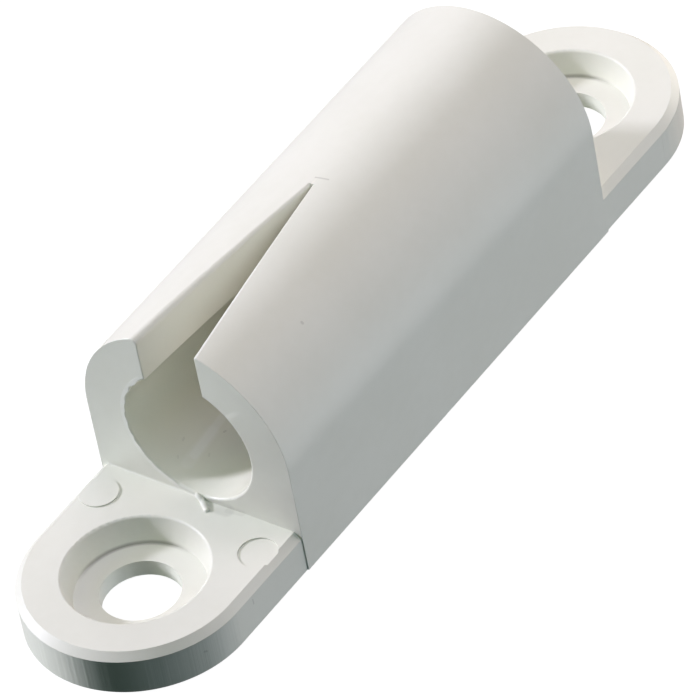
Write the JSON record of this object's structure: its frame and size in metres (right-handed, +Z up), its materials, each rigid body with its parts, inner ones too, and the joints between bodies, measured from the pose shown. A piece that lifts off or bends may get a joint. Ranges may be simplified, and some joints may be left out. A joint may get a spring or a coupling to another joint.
{
  "type": "tubular jam cleat",
  "caption": "Moulded jam cleat for light line: the line runs through a round bore and jams when pulled up into a tapering V slot in the crown; a recessed screw ear at each end fixes it down.",
  "frame": {"origin": "centre of the flat mounting face, midway between the screw holes", "axes": "+Z up, away from the deck; +X along the bore, away from the slot's open mouth"},
  "size_m": [0.067, 0.0162, 0.0167],
  "materials": {
    "white_nylon": "as moulded, satin matte, off-white"
  },
  "bodies": {
    "root": {"cleat": "white_nylon"}
  },
  "joints": []
}
